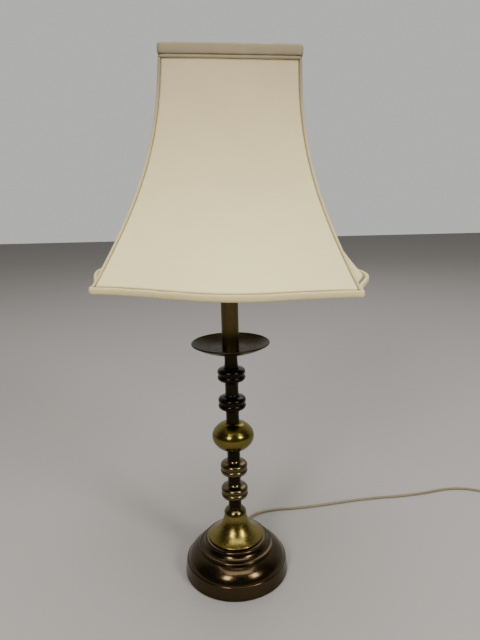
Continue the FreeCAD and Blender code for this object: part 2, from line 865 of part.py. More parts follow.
def cord_route():
    """The cord on the floor, from the strain relief to the coil."""
    along = lead_direction()
    start = along * amount("foot_radius + 1.0 + relief_length")
    floor = SIZES["cord_width"] / 2 + 0.1
    points = [start + V(0, 0, SIZES["lead_height"]),
              start + along * 13 + V(0, 0, SIZES["lead_height"] - 0.8)]
    for x, y, rise in ((25, 119, 1.0), (42, 132, 0), (66, 139, 0), (98, 140.5, 0), (138, 147, 0),
                       (186, 157, 0), (236, 166.5, 0), (284, 170, 0), (330, 178, 0), (366, 189, 0),
                       (401, 191.5, 0), (432, 182, 0), (455, 166, 0)):
        points.append(V(x, y, floor + rise))
    return points


def make_cord(doc):
    shaped(doc, "cord_tube", tube(route_wire(cord_route(), "cord_tube"), SIZES["cord_width"] / 2))
    middle = "coil_middle"
    coil = turned(doc, "cord_coil", [
        (middle + " - 0.5 * coil_width + 1", "0"),
        (middle + " + 0.5 * coil_width - 1", "0"),
        (middle + " + 0.5 * coil_width", "0.5 * coil_height"),
        (middle + " + 0.5 * coil_width - 1", "coil_height"),
        (middle + " - 0.5 * coil_width + 1", "coil_height"),
        (middle + " - 0.5 * coil_width", "0.5 * coil_height"),
    ])
    coil.setExpression("Placement.Base.x", "dims.coil_x")
    coil.setExpression("Placement.Base.y", "dims.coil_y")


def make_plug(doc):
    """Two-blade plug that lies flat beside the coil, its lead end against the coil's last turn."""
    body = new_body(doc, "plug_body")
    side = new_sketch(body, "plug_outline", "XY_Plane")
    draw_outline(side, [("-4", "0", -16), ("4", "0"), ("11", "12", -16), ("11", "30"), ("-11", "30"),
                        ("-11", "12")])
    add_pad(body, "plug_height", side, "13")
    blades = new_body(doc, "plug_blades")
    for name, across in (("left", "-7.1"), ("right", "5.6")):
        sketch = new_sketch(blades, "blade_" + name, "XZ_Plane")
        far = "%s + 1.5" % across
        draw_outline(sketch, [(across, "3.3"), (far, "3.3"), (far, "9.7"), (across, "9.7")])
        add_pad(blades, "blade_%s_pad" % name, sketch, "16", reverse=True)
    place = FreeCAD.Placement(V(amount("coil_x + 27"), amount("coil_y + 32"), 0),
                              FreeCAD.Rotation(V(0, 0, 1), 42))
    body.Placement = place
    blades.Placement = place.multiply(FreeCAD.Placement(V(0, 30, 0), FreeCAD.Rotation()))


# ---------------------------------------------------------------------------- whole lamp

def check(doc):
    for item in doc.Objects:
        if "Invalid" in item.State or "Error" in item.State:
            raise RuntimeError("%s is %s" % (item.Name, item.State))


def export(doc):
    os.makedirs("parts", exist_ok=True)
    nodes = [item for item in doc.Objects if item.TypeId in ("PartDesign::Body", "Part::Feature")]
    for item in nodes:
        shape = item.Shape
        if shape.isNull() or not shape.isValid() or not shape.Solids:
            raise RuntimeError("%s has no valid solid" % item.Label)
        shape.exportStep("parts/%s.step" % item.Label)
    print("%d nodes" % len(nodes))


def main():
    doc = FreeCAD.newDocument("table_lamp")
    make_sheet(doc)
    make_foot(doc)
    make_stem(doc)
    head = make_socket(doc) + [make_saddle(doc)] + make_switch(doc) + make_bulb(doc)
    head += make_harp(doc) + make_shade(doc)
    make_strain_relief(doc)
    make_inner_cord(doc)
    make_cord(doc)
    make_plug(doc)
    doc.recompute()
    for item in head:
        into_head(item)
    doc.recompute()
    check(doc)
    export(doc)


main()
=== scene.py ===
"""Candlestick table lamp with a square bell shade: detailed pieces and materials on the CAD frame.

Metres, +Z up, the front is -Y. The head (socket, bulb, harp and shade) leans a little to the right about the
top of the candle sleeve.
"""
import bpy
import math
from mathutils import Matrix, Vector, noise


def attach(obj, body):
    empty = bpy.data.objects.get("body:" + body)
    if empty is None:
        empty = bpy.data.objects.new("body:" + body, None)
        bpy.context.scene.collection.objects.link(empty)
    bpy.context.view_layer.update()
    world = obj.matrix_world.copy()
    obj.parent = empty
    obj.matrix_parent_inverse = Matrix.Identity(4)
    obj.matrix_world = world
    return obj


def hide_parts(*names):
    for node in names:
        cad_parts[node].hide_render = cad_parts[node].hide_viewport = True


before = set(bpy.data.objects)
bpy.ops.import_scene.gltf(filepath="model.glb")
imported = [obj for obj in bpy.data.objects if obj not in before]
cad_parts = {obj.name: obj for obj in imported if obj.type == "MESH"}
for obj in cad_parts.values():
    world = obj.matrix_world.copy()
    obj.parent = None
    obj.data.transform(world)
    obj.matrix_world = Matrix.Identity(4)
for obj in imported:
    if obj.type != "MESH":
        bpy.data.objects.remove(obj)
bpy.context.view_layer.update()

MM = 0.001
HEAD_FOOT = 0.4045
HEAD_LEAN = math.radians(2.1)
HEAD = Matrix.Translation((0, 0, HEAD_FOOT)) @ Matrix.Rotation(HEAD_LEAN, 4, "Y")

# camera and lights, in metres
CAMERA_PLACE = (0.0136, -0.6806, 0.5225)
LAMP_MIDDLE = 0.35

# each light's name, azimuth, elevation, distance, width, height, power and colour
LIGHTS = (
    ("window_left", -24, 32, 2.4, 0.5, 0.8, 26, (1.0, 0.96, 0.90)),
    ("window_right", 46, 30, 2.4, 0.5, 0.8, 28, (1.0, 0.97, 0.92)),
    ("ceiling", 10, 78, 2.6, 2.4, 2.4, 68, (1.0, 0.98, 0.95)),
    ("behind", 170, 40, 2.8, 1.6, 1.2, 12, (0.97, 0.98, 1.0)),
)

# shade, in millimetres: heights above the head's foot, then half widths at the corners
SHADE_LOW = 17.6
SHADE_HIGH = 270.7
SHADE_TOP = 73.5
SHADE_BOTTOM = 140.4

# the corner's Bezier curve, in shares of the shade's height: how high its two handles are, and how far in
# from the lower corner the first one is
RIB_LOWER = 0.36
RIB_UPPER = 0.6
RIB_FLARE = 0.18

# how far the front, right, back and left sides stand out at the hem, and how fast that fades upwards
BOWS = (34.0, 33.0, 31.0, 24.0)
NO_BOWS = (0, 0, 0, 0)
BOW_FADE = 4.2

# cloth and tape, in millimetres; the last one is the corner piping's radius
HEM_HEIGHT = 7.4
TRIM_HEIGHT = 11.2
PIPING_HEIGHT = 4.2
FABRIC_THICK = 1.2
CORNER_PIPING = 1.4

# the cloth is tucked in beside the corner piping, and has a slow and a fine wave, all in millimetres
TUCK_DEPTH = 0.9
TUCK_REACH = 1.6
SLOW_WAVE = 0.30
SLOW_LENGTH = 42.0
FINE_WAVE = 0.10
FINE_LENGTH = 11.0
WAVE_FADE = 12.0

# the tape rises, falls and swells along its length: lengths in millimetres, and a share of its thickness
LIFT_LENGTH = 17.0
SWELL_LENGTH = 6.0
SWELL = 0.09

# how finely the shade's meshes are divided
CORNER_STEPS = 6
RING_AROUND = 18
PIPING_AROUND = 10
PIPING_STATIONS = 90
PANEL_ROWS = 72
PANEL_COLUMNS = 60

# each panel's side, width along its lower edge, height along its middle and area, in metres and square metres
PANELS = (
    ("front", 0.283, 0.258, 0.0490),
    ("right", 0.282, 0.258, 0.0489),
    ("back", 0.282, 0.257, 0.0487),
    ("left", 0.279, 0.253, 0.0482),
)

# cord: lengths in millimetres and angles in radians
FOOT_RADIUS = 72.9
RELIEF_LENGTH = 22.0
LEAD_HEIGHT = 6.5
LEAD_TURN = math.radians(10.0)
CORD_WIDTH = 5.4
CORD_THICK = 2.7
CORD_FLOOR = 0.5 * CORD_THICK + 0.1
COIL_X = 486.0
COIL_Y = 172.0
COIL_COLUMNS = (35.5, 30.2, 25.0)
COIL_TURNS = 6
COIL_PER_TURN = 16
COIL_EXTRA_STEPS = 7
COIL_START = math.radians(202)
PLUG_TURN = math.radians(42.0)
PLUG_PLACE = (COIL_X + 27, COIL_Y + 32, 6.6)
PLUG_LEAD = 25.6

# x, y and rise above the floor of the run to the coil, in millimetres
CORD_ROUTE = (
    (25, 119, 2.2), (42, 132, 0.6), (66, 139, 0), (98, 140.5, 0), (138, 147, 0), (186, 157, 0),
    (236, 166.5, 0), (284, 170, 0), (330, 178, 0), (366, 189, 0), (401, 191.5, 0), (430, 183, 0),
    (446, 169, 0),
)

# the cord's two round lobes: radius and distance from the middle, in metres, then the points round each and the
# degrees between them
LOBE_RADIUS = 0.5 * CORD_THICK * MM
LOBE_OFFSET = 0.5 * (CORD_WIDTH - CORD_THICK) * MM
LOBE_POINTS = 7
LOBE_STEP = 35

# each aged brass: its name, bright and dark colours, roughness, wear and the nodes that it covers
BRASSES = (
    ("dark_bronze", (0.115, 0.082, 0.042), (0.030, 0.020, 0.011), 0.18, 0.45, ("base_shell",)),
    ("knop_bronze", (0.25, 0.195, 0.085), (0.034, 0.025, 0.012), 0.19, 0.40,
     ("knop_three", "knop_four", "collar")),
    ("black_bronze", (0.042, 0.032, 0.017), (0.008, 0.006, 0.004), 0.22, 0.30,
     ("knop_one", "knop_two", "neck_one", "neck_two", "neck_three", "neck_four", "neck_five", "neck_six")),
    ("pan_bronze", (0.085, 0.064, 0.026), (0.014, 0.010, 0.005), 0.36, 0.40, ("drip_pan",)),
    ("olive_brass", (0.25, 0.200, 0.042), (0.070, 0.055, 0.016), 0.20, 0.60, ("ball",)),
    ("antique_brass", (0.30, 0.232, 0.062), (0.11, 0.084, 0.024), 0.25, 0.60, ("base_cone",)),
    ("satin_brass", (0.190, 0.150, 0.052), (0.075, 0.058, 0.022), 0.40, 0.50,
     ("candle_sleeve", "check_ring")),
)


# ---------------------------------------------------------------------------- camera, lights, floor

def add_camera():
    """In front of the lamp, level with the shade, tipped down and slightly turned about its line of sight."""
    pitch = 0.229
    roll = -0.024
    right = Vector((math.cos(roll), math.sin(roll) * math.sin(pitch), math.sin(roll) * math.cos(pitch)))
    up = Vector((-math.sin(roll), math.cos(roll) * math.sin(pitch), math.cos(roll) * math.cos(pitch)))
    back = right.cross(up)
    camera = bpy.data.objects.new("camera", bpy.data.cameras.new("camera"))
    camera.matrix_world = Matrix.Translation(CAMERA_PLACE) @ Matrix((
        (right.x, up.x, back.x, 0),
        (right.y, up.y, back.y, 0),
        (right.z, up.z, back.z, 0),
        (0, 0, 0, 1),
    ))
    camera.data.lens = 30.375
    camera.data.sensor_width = 36.0
    camera.data.shift_x = -0.0006
    camera.data.shift_y = 0.0008
    camera.data.clip_start = 0.02
    bpy.context.scene.collection.objects.link(camera)
    bpy.context.scene.camera = camera


def add_light(name, azimuth, elevation, distance, width, height, power, colour):
    """Soft area light that aims at the middle of the lamp; azimuth 0 is the front, and 90 the right."""
    azimuth = math.radians(azimuth)
    elevation = math.radians(elevation)
    aim = Vector((0, 0, LAMP_MIDDLE))
    away = Vector((math.sin(azimuth) * math.cos(elevation), -math.cos(azimuth) * math.cos(elevation),
                   math.sin(elevation)))
    data = bpy.data.lights.new(name, "AREA")
    data.shape = "RECTANGLE"
    data.size = width
    data.size_y = height
    data.energy = power
    data.color = colour
    light = bpy.data.objects.new(name, data)
    light.location = aim + away * distance
    light.rotation_euler = (-away).to_track_quat("-Z", "Y").to_euler()
    bpy.context.scene.collection.objects.link(light)


def add_lights():
    for light in LIGHTS:
        add_light(*light)


def add_world():
    """A dim room in front of the lamp and a pale wall behind it."""
    world = bpy.data.worlds.new("studio")
    world.use_nodes = True
    nodes = world.node_tree.nodes
    links = world.node_tree.links
    direction = nodes.new("ShaderNodeTexCoord")
    parts = nodes.new("ShaderNodeSeparateXYZ")
    links.new(direction.outputs["Generated"], parts.inputs["Vector"])
    blend = nodes.new("ShaderNodeValToRGB")
    blend.color_ramp.elements[0].position = 0.0
    blend.color_ramp.elements[0].color = (0.075, 0.066, 0.055, 1)
    blend.color_ramp.elements[1].position = 0.55
    blend.color_ramp.elements[1].color = (0.56, 0.56, 0.55, 1)
    links.new(parts.outputs["Y"], blend.inputs["Fac"])
    background = nodes["Background"]
    links.new(blend.outputs["Color"], background.inputs["Color"])
    background.inputs["Strength"].default_value = 1.0
    bpy.context.scene.world = world


def add_floor():
    mesh = bpy.data.meshes.new("floor")
    reach = 6.0
    mesh.from_pydata([(-reach, -reach, 0), (reach, -reach, 0), (reach, reach, 0), (-reach, reach, 0)], [],
                     [(0, 1, 2, 3)])
    floor = bpy.data.objects.new("floor", mesh)
    floor.location.z = -0.0002
    bpy.context.scene.collection.objects.link(floor)
    paint = Paint("floor_paint")
    paint.set(colour=(0.37, 0.355, 0.34), rough=0.85)
    mesh.materials.append(paint.material)


# ---------------------------------------------------------------------------- materials

class Paint:
    """A principled material and short ways to wire its nodes, in object coordinates."""

    def __init__(self, name):
        self.material = bpy.data.materials.new(name)
        self.material.use_nodes = True
        self.nodes = self.material.node_tree.nodes
        self.links = self.material.node_tree.links
        self.shader = self.nodes["Principled BSDF"]
        self.place = self.add("ShaderNodeTexCoord").outputs["Object"]

    def add(self, kind, **settings):
        node = self.nodes.new(kind)
        for key, value in settings.items():
            setattr(node, key, value)
        return node

    def join(self, source, target):
        self.links.new(source, target)

    def set(self, colour=None, rough=None, metallic=None):
        if colour is not None:
            self.shader.inputs["Base Color"].default_value = (*colour, 1)
        if rough is not None:
            self.shader.inputs["Roughness"].default_value = rough
        if metallic is not None:
            self.shader.inputs["Metallic"].default_value = metallic

    def stretched(self, scale):
        mapping = self.add("ShaderNodeMapping")
        mapping.inputs["Scale"].default_value = scale
        self.join(self.place, mapping.inputs["Vector"])
        return mapping.outputs["Vector"]

    def noise(self, scale, detail=3.0, stretch=(1, 1, 1), rough=0.55):
        node = self.add("ShaderNodeTexNoise")
        node.inputs["Scale"].default_value = scale
        node.inputs["Detail"].default_value = detail
        node.inputs["Roughness"].default_value = rough
        self.join(self.stretched(stretch), node.inputs["Vector"])
        return node.outputs["Fac"]

    def wave(self, scale, direction, distortion=0.0, detail=1.0):
        node = self.add("ShaderNodeTexWave", wave_type="BANDS", bands_direction=direction)
        node.inputs["Scale"].default_value = scale
        node.inputs["Distortion"].default_value = distortion
        node.inputs["Detail"].default_value = detail
        self.join(self.place, node.inputs["Vector"])
        return node.outputs["Fac"]

    def ramp(self, value, stops):
        node = self.add("ShaderNodeValToRGB")
        elements = node.color_ramp.elements
        while len(elements) < len(stops):
            elements.new(0.5)
        for element, (position, colour) in zip(elements, stops):
            element.position = position
            element.color = (*colour, 1)
        self.join(value, node.inputs["Fac"])
        return node.outputs["Color"]

    def span(self, value, low, high, from_low=0.0, from_high=1.0):
        node = self.add("ShaderNodeMapRange")
        node.inputs["From Min"].default_value = from_low
        node.inputs["From Max"].default_value = from_high
        node.inputs["To Min"].default_value = low
        node.inputs["To Max"].default_value = high
        self.join(value, node.inputs["Value"])
        return node.outputs["Result"]

    def swing(self, value, low, high):
        """Map the middle range of a noise, where most of it lies, to low and high."""
        return self.span(value, low, high, 0.3, 0.7)

    def maths(self, operation, first, second):
        node = self.add("ShaderNodeMath", operation=operation)
        for socket, value in zip(node.inputs, (first, second)):
            if isinstance(value, (int, float)):
                socket.default_value = value
            else:
                self.join(value, socket)
        return node.outputs["Value"]

    def mix(self, share, first, second, blend="MIX"):
        node = self.add("ShaderNodeMix", data_type="RGBA", blend_type=blend)
        for socket, value in zip((node.inputs[0], node.inputs[6], node.inputs[7]), (share, first, second)):
            if isinstance(value, (int, float)):
                socket.default_value = value
            elif isinstance(value, tuple):
                socket.default_value = (*value, 1)
            else:
                self.join(value, socket)
        return node.outputs[2]

    def bump(self, height, distance, strength=1.0):
        node = self.add("ShaderNodeBump")
        node.inputs["Strength"].default_value = strength
        node.inputs["Distance"].default_value = distance
        self.join(height, node.inputs["Height"])
        self.join(node.outputs["Normal"], self.shader.inputs["Normal"])

    def to(self, socket, value):
        self.join(value, self.shader.inputs[socket])


def aged_brass(name, bright, dark, rough, wear):
    """Antique brass: a patchy dark patina over brighter metal, painted shade in its hollows and fine turned
    lines.
    """
    paint = Paint(name)
    patches = paint.noise(38, 5, rough=0.6)
    lines = paint.noise(60, 3, stretch=(0.4, 0.4, 60))
    # painted shade: the metal is darker in its hollows, where the occlusion share is low
    hollow = paint.add("ShaderNodeAmbientOcclusion", samples=8)
    hollow.inputs["Distance"].default_value = 7 * MM
    patina = paint.maths("MULTIPLY_ADD", patches, 0.5)
    patina.node.inputs[2].default_value = wear - 0.25
    painted_hollow_light = paint.span(hollow.outputs["AO"], 0.0, 1.0, 0.25, 0.95)
    share = paint.maths("MULTIPLY", patina, painted_hollow_light)
    share.node.use_clamp = True
    streaked = paint.maths("ADD", share, paint.swing(lines, -0.12, 0.12))
    streaked.node.use_clamp = True
    paint.to("Base Color", paint.mix(streaked, dark, bright))
    fine = paint.noise(260, 4)
    paint.to("Roughness", paint.maths("ADD", paint.swing(lines, rough - 0.06, rough + 0.06),
                                      paint.swing(fine, -0.04, 0.05)))
    paint.set(metallic=1.0)
    paint.bump(paint.maths("ADD", lines, paint.maths("MULTIPLY", fine, 0.5)), 0.05 * MM, 0.2)
    return paint.material


def plain_metal(name, colour, rough, lines=0.0):
    paint = Paint(name)
    paint.set(metallic=1.0)
    haze = paint.noise(90, 4)
    paint.to("Base Color", paint.mix(haze, tuple(0.82 * part for part in colour), colour))
    paint.to("Roughness", paint.swing(haze, rough - 0.07, rough + 0.07))
    if lines:
        paint.bump(paint.wave(lines, "Z"), 0.4 * MM, 0.8)
    return paint.material


def cast_metal():
    paint = Paint("rough_casting")
    grain = paint.noise(420, 5)
    paint.to("Base Color", paint.mix(grain, (0.03, 0.03, 0.03), (0.09, 0.085, 0.08)))
    paint.set(rough=0.75, metallic=0.6)
    paint.bump(grain, 0.5 * MM, 0.7)
    return paint.material


def felt():
    paint = Paint("wool_felt")
    fluff = paint.noise(900, 6)
    patches = paint.noise(60, 3)
    colour = paint.mix(patches, (0.030, 0.062, 0.036), (0.055, 0.095, 0.060))
    paint.to("Base Color", colour)
    paint.set(rough=0.95)
    paint.shader.inputs["Sheen Weight"].default_value = 0.4
    paint.bump(fluff, 0.5 * MM, 0.8)
    return paint.material


def cloth(name, low, middle, high, thread=0.55, slub=0.5):
    """Fine plain weave with a few thick threads; painted light makes it lighter low down and darker towards the
    top, and painted shade darkens its creases.
    """
    paint = Paint(name)
    pitch = 2 * math.pi / (thread * MM) / 20.0
    warp = paint.wave(pitch, "X", 0.6, 2.0)
    weft = paint.wave(pitch, "Z", 0.6, 2.0)
    across = paint.noise(30, 4, stretch=(1, 1, 45))
    along = paint.noise(30, 4, stretch=(45, 45, 1))
    stain = paint.noise(9, 3)
    weave = paint.maths("MULTIPLY", paint.maths("ADD", warp, weft), 0.5)
    # painted light: the height share makes the cloth lighter low on the shade and darker towards its top; the
    # stain noise adds real uneven tone
    parts = paint.add("ShaderNodeSeparateXYZ")
    paint.join(paint.place, parts.inputs["Vector"])
    height = paint.span(parts.outputs["Z"], 0.0, 1.0, 0.425, 0.675)
    share = paint.maths("ADD", height, paint.swing(stain, -0.09, 0.09))
    stain_and_light_tone = paint.ramp(share, [(0.15, low), (0.6, middle), (1.0, high)])
    threads = paint.span(paint.maths("ADD", across, along), 0.94, 1.0, 0.7, 1.3)
    # painted shade: the cloth is darker in its creases beside the piping and tape
    crease = paint.add("ShaderNodeAmbientOcclusion", samples=8)
    crease.inputs["Distance"].default_value = 5 * MM
    painted_crease_shade = paint.span(crease.outputs["AO"], 0.45, 1.0, 0.2, 0.9)
    shade = paint.ramp(paint.maths("MULTIPLY", threads, painted_crease_shade), [(0.0, (0, 0, 0)), (1.0, (1, 1, 1))])
    paint.to("Base Color", paint.mix(1.0, stain_and_light_tone, shade, "MULTIPLY"))
    paint.set(rough=0.82)
    paint.shader.inputs["Sheen Weight"].default_value = 0.15
    paint.shader.inputs["Specular IOR Level"].default_value = 0.25
    rise = paint.maths("ADD", paint.maths("MULTIPLY", weave, 0.5),
                       paint.maths("MULTIPLY", paint.maths("ADD", across, along), slub))
    paint.bump(rise, 0.25 * MM, 0.6)
    return paint.material


def frosted_glass():
    paint = Paint("frosted_glass")
    paint.set(colour=(0.93, 0.93, 0.90), rough=0.35)
    paint.shader.inputs["Transmission Weight"].default_value = 0.45
    paint.shader.inputs["IOR"].default_value = 1.45
    paint.bump(paint.noise(600, 3), 0.05 * MM, 0.4)
    return paint.material


def moulded(name, colour, rough):
    paint = Paint(name)
    grain = paint.noise(500, 3)
    paint.to("Base Color", paint.mix(grain, tuple(0.8 * part for part in colour), colour))
    paint.set(rough=rough)
    paint.bump(grain, 0.1 * MM, 0.4)
    return paint.material


def gold_vinyl():
    """Gold jacket: over the two copper strands it is lighter than in the groove between them."""
    paint = Paint("gold_vinyl")
    core = paint.add("ShaderNodeAttribute", attribute_name="core").outputs["Fac"]
    twist = paint.noise(700, 2)
    strands = paint.mix(paint.span(twist, 0.0, 1.0, 0.35, 0.65), (0.135, 0.112, 0.052), (0.24, 0.20, 0.10))
    paint.to("Base Color", paint.mix(core, (0.045, 0.040, 0.020), strands))
    paint.set(rough=0.42)
    paint.shader.inputs["Coat Weight"].default_value = 0.15
    paint.shader.inputs["Coat Roughness"].default_value = 0.2
    return paint.material


def fibre_paper():
    paint = Paint("fibre_paper")
    fibres = paint.noise(120, 5, stretch=(1, 1, 5))
    paint.to("Base Color", paint.mix(fibres, (0.30, 0.21, 0.12), (0.48, 0.36, 0.23)))
    paint.set(rough=0.9)
    paint.bump(fibres, 0.1 * MM, 0.5)
    return paint.material


# ---------------------------------------------------------------------------- mesh helpers

def new_piece(name, points, faces, materials, body, nodes, inside=None):
    """Smooth mesh in place of CAD nodes, riding on a body; inside picks faces for the second material."""
    mesh = bpy.data.meshes.new(name)
    mesh.from_pydata([tuple(point) for point in points], [], faces)
    mesh.update()
    for item in materials:
        mesh.materials.append(item)
    for index, polygon in enumerate(mesh.polygons):
        polygon.use_smooth = True
        if inside and inside(index):
            polygon.material_index = 1
    piece = bpy.data.objects.new(name, mesh)
    bpy.context.scene.collection.objects.link(piece)
    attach(piece, body)
    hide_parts(*nodes)
    return piece


def closed_tube_faces(stations, around, loop=False):
    """Quads between rings of points, with end caps unless the rings close on themselves."""
    faces = []
    last = stations if loop else stations - 1
    for station in range(last):
        following = (station + 1) % stations
        for step in range(around):
            beside = (step + 1) % around
            faces.append((station * around + step, station * around + beside,
                          following * around + beside, following * around + step))
    if not loop:
        faces.append(tuple(reversed(range(around))))
        faces.append(tuple((stations - 1) * around + step for step in range(around)))
    return faces


def ripple(point, size, seed):
    """Smooth noise from -1 to 1 at a place given in millimetres."""
    return noise.noise(Vector((point[0] / size + seed, point[1] / size, point[2] / size)))


# ---------------------------------------------------------------------------- shade

def rib_half_width(height):
    """Half the shade's width at its corners, from the corner's Bezier curve."""
    tall = SHADE_HIGH - SHADE_LOW
    heights = (SHADE_LOW, SHADE_LOW + RIB_LOWER * tall, SHADE_LOW + RIB_UPPER * tall, SHADE_HIGH)
    widths = (SHADE_BOTTOM, SHADE_BOTTOM - RIB_FLARE * tall, SHADE_TOP, SHADE_TOP)
    low, high = 0.0, 1.0
    for _ in range(40):
        share = 0.5 * (low + high)
        if bezier(heights, share) < height:
            low = share
        else:
            high = share
    return bezier(widths, share)


def bezier(values, share):
    rest = 1 - share
    return (values[0] * rest ** 3 + 3 * values[1] * rest ** 2 * share + 3 * values[2] * rest * share ** 2
            + values[3] * share ** 3)


def side_bow(quarter, height):
    """How far the middle of a side stands out beyond its corners; sides count round from the front."""
    down = (SHADE_HIGH - height) / (SHADE_HIGH - SHADE_LOW)
    return BOWS[quarter] * max(down, 0.0) ** BOW_FADE


def side_point(share, half, bow):
    """Plan point of the front side; share runs from -1 at the left corner to 1 at the right."""
    return Vector((share * half, -(half + bow * (0.5 + 0.5 * math.cos(math.pi * share))), 0))


def quarter_turn(quarter):
    return Matrix.Rotation(math.radians(90 * quarter), 4, "Z")


def ring_line(half, bows, corner, steps=56):
    """Plan points round the shade, with each corner rounded over a distance."""
    points = []
    limit = 1 - corner / half
    for quarter in range(4):
        turn = quarter_turn(quarter)
        for step in range(steps):
            share = limit * (2 * step / (steps - 1) - 1)
            points.append(turn @ side_point(share, half, bows[quarter]))
        start = side_point(limit, half, bows[quarter])
        middle = Vector((half, -half, 0))
        finish = quarter_turn(1) @ side_point(-limit, half, bows[(quarter + 1) % 4])
        for step in range(1, CORNER_STEPS):
            share = step / CORNER_STEPS
            points.append(turn @ (start * (1 - share) ** 2 + middle * (2 * share * (1 - share))
                                  + finish * share ** 2))
    return points


def rolled_ring(name, half, bows, corner, middle, thick, tall, power, wobble, seed, material, node):
    """Rolled tape round the shade: a soft rectangular section, a little uneven along its length."""
    line = ring_line(half, bows, corner)
    points = []
    count = len(line)
    for index, centre in enumerate(line):
        ahead = line[(index + 1) % count] - line[index - 1]
        outward = Vector((ahead.y, -ahead.x, 0)).normalized()
        lift = wobble * ripple(centre, LIFT_LENGTH, seed)
        swell = 1 + SWELL * ripple(centre, SWELL_LENGTH, seed + 40)
        for step in range(RING_AROUND):
            angle = 2 * math.pi * step / RING_AROUND
            across = rounded(math.cos(angle), power) * 0.5 * thick * swell
            up = rounded(math.sin(angle), power) * 0.5 * tall
            place = centre + outward * across + Vector((0, 0, middle + up + lift * (0.6 + 0.4 * up / tall)))
            points.append(HEAD @ (place * MM))
    faces = closed_tube_faces(count, RING_AROUND, True)
    return new_piece(name, points, faces, [material], "shade", (node,))


def rounded(value, power):
    """A sine or cosine bent towards a rectangle's side; power 2 leaves it a circle's."""
    return math.copysign(abs(value) ** (2 / power), value)


def cloth_dent(quarter, across, height, edge):
    """How far the outer cloth is drawn in: tucked beside the piping, and slightly uneven elsewhere."""
    tuck = TUCK_DEPTH * math.exp(-edge / TUCK_REACH)
    wave = SLOW_WAVE * ripple((across, height, 13.0 * quarter), SLOW_LENGTH, 3.0)
    wave += FINE_WAVE * ripple((across, height * 0.4, 7.0 * quarter), FINE_LENGTH, 9.0)
    return tuck - wave * min(edge / WAVE_FADE, 1.0)


def panel_points(quarter):
    """Rows of points up the outer cloth, and then up the lining behind it."""
    low = SHADE_LOW + HEM_HEIGHT - 1.2
    high = SHADE_HIGH - TRIM_HEIGHT - PIPING_HEIGHT + 0.8
    points = []
    turn = HEAD @ Matrix.Scale(MM, 4) @ quarter_turn(quarter)
    for inset in (0.0, FABRIC_THICK):
        for row in range(PANEL_ROWS + 1):
            height = low + (high - low) * row / PANEL_ROWS
            half = rib_half_width(height)
            reach = 1 - (CORNER_PIPING + 0.3) / half
            for column in range(PANEL_COLUMNS + 1):
                share = reach * math.sin(math.pi * (column / PANEL_COLUMNS - 0.5))
                place = side_point(share, half, side_bow(quarter, height))
                edge = (1 - abs(share) / reach) * half
                place.y += inset + (cloth_dent(quarter, place.x, height, edge) if inset == 0.0 else 0.0)
                place.z = height
                points.append(turn @ place)
    return points


def panel_faces():
    """Faces of the outer cloth, of the lining, and of the narrow edge that joins them all round."""
    across = PANEL_COLUMNS + 1
    layer_points = (PANEL_ROWS + 1) * across
    faces = []
    for layer in (0, 1):
        for row in range(PANEL_ROWS):
            for column in range(PANEL_COLUMNS):
                first = layer * layer_points + row * across + column
                above = first + across
                quad = (first, first + 1, above + 1, above)
                faces.append(quad if layer == 0 else tuple(reversed(quad)))
    border = list(range(across))
    border += [row * across + PANEL_COLUMNS for row in range(1, PANEL_ROWS + 1)]
    border += [PANEL_ROWS * across + column for column in range(PANEL_COLUMNS - 1, -1, -1)]
    border += [row * across for row in range(PANEL_ROWS - 1, 0, -1)]
    for here, following in zip(border, border[1:] + border[:1]):
        faces.append((following, here, here + layer_points, following + layer_points))
    return faces


def panel(side, quarter, cloth_material, lining):
    """One stretched panel: fine outer cloth with a lining behind it."""
    outer_faces = PANEL_ROWS * PANEL_COLUMNS
    return new_piece("cloth_" + side, panel_points(quarter), panel_faces(), [cloth_material, lining], "shade",
                     ("panel_" + side,), lambda index: outer_faces <= index < 2 * outer_faces)


def corner_piping(corner, quarter, material):
    """Thin covered cord down one corner, slightly uneven."""
    low = SHADE_LOW + HEM_HEIGHT - 1.0
    high = SHADE_HIGH - TRIM_HEIGHT - PIPING_HEIGHT + 0.6
    points = []
    turn = HEAD @ Matrix.Scale(MM, 4) @ quarter_turn(quarter)
    for station in range(PIPING_STATIONS):
        height = low + (high - low) * station / (PIPING_STATIONS - 1)
        half = rib_half_width(height) - 0.2
        radius = (CORNER_PIPING + 0.25) * (1 + 0.10 * ripple((half, height, quarter), 9.0, 21.0))
        centre = Vector((half, -half, height))
        for step in range(PIPING_AROUND):
            angle = 2 * math.pi * step / PIPING_AROUND
            points.append(turn @ (centre + Vector((math.cos(angle), math.sin(angle), 0)) * radius))
    faces = closed_tube_faces(PIPING_STATIONS, PIPING_AROUND)
    return new_piece("piping_" + corner, points, faces, [material], "shade",
                     ("seam_" + corner,))


